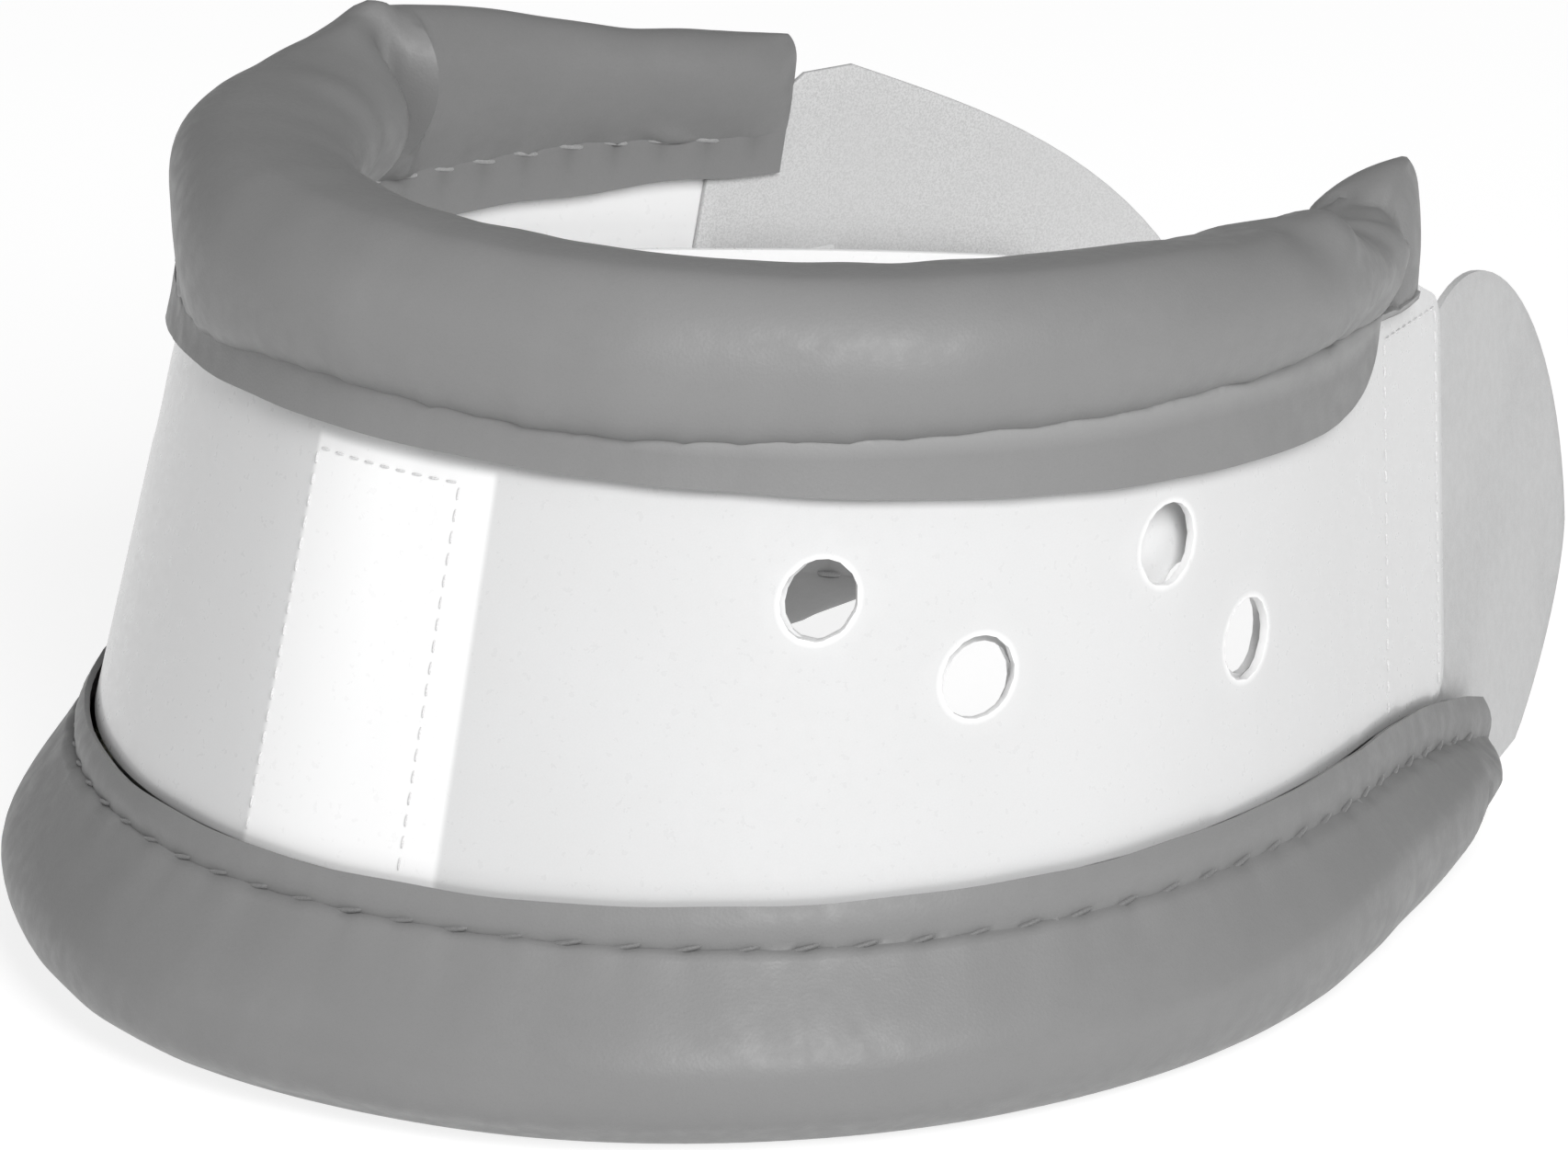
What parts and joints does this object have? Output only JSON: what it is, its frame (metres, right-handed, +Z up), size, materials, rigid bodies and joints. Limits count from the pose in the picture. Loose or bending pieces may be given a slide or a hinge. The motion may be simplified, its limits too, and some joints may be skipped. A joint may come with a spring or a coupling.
{
  "type": "cervical collar",
  "caption": "Two-piece rigid neck collar: lapped plastic panels with padded chin and shoulder rolls, hook-and-loop height adjustment and rounded closure flaps.",
  "frame": {"origin": "centre of the bounding box in plan, at the floor that the lower roll rests on", "axes": "+Z up, -Y the way the chin faces, +X towards the wearer's left, open side of the collar towards +Y"},
  "size_m": [0.1516, 0.2008, 0.0915],
  "materials": {
    "panel_plastic": "frosted translucent sheet",
    "flap_plastic": "frosted translucent sheet",
    "roll_vinyl": "matte grey vinyl",
    "roll_foam": "soft open-cell foam",
    "fastener_tape": "woven hook-and-loop tape",
    "grey_thread": "sewing thread",
    "white_thread": "sewing thread"
  },
  "bodies": {
    "lower": {"lower_panel": "panel_plastic", "lower_roll_foam": "roll_foam", "lower_roll_cover": "roll_vinyl", "lower_roll_stitching": "grey_thread", "front_hook_strip": "fastener_tape", "left_hook_strip": "fastener_tape", "right_hook_strip": "fastener_tape", "hook_strip_stitching": "white_thread"},
    "upper": {"upper_panel": "panel_plastic", "upper_roll_foam": "roll_foam", "upper_roll_cover": "roll_vinyl", "upper_roll_stitching": "grey_thread", "front_loop_strip": "fastener_tape", "left_loop_strip": "fastener_tape", "right_loop_strip": "fastener_tape", "front_strip_stitching": "white_thread", "left_strip_stitching": "white_thread", "right_strip_stitching": "white_thread", "left_flap_margin": "flap_plastic", "right_flap_margin": "flap_plastic"},
    "left_flap": {"left_closure_flap": "flap_plastic", "closure_hook_patch": "fastener_tape"},
    "right_flap": {"right_closure_flap": "flap_plastic", "closure_loop_patch": "fastener_tape"}
  },
  "joints": [
    {"name": "height_slide", "type": "slide", "parent": "lower", "child": "upper", "axis": [0, 0.1695, 0.9855], "range_m": [0, 0.025]},
    {"name": "left_flap_bend", "type": "hinge", "parent": "upper", "child": "left_flap", "pos_m": [0.04205, 0.05324, 0.0483], "axis": [0.1133, -0.1238, -0.9858], "range_deg": [0, 60], "stiffness_Nm_per_rad": 0.04},
    {"name": "right_flap_bend", "type": "hinge", "parent": "upper", "child": "right_flap", "pos_m": [-0.04205, 0.05324, 0.0483], "axis": [0.1133, 0.1238, 0.9858], "range_deg": [0, 60], "stiffness_Nm_per_rad": 0.04}
  ]
}
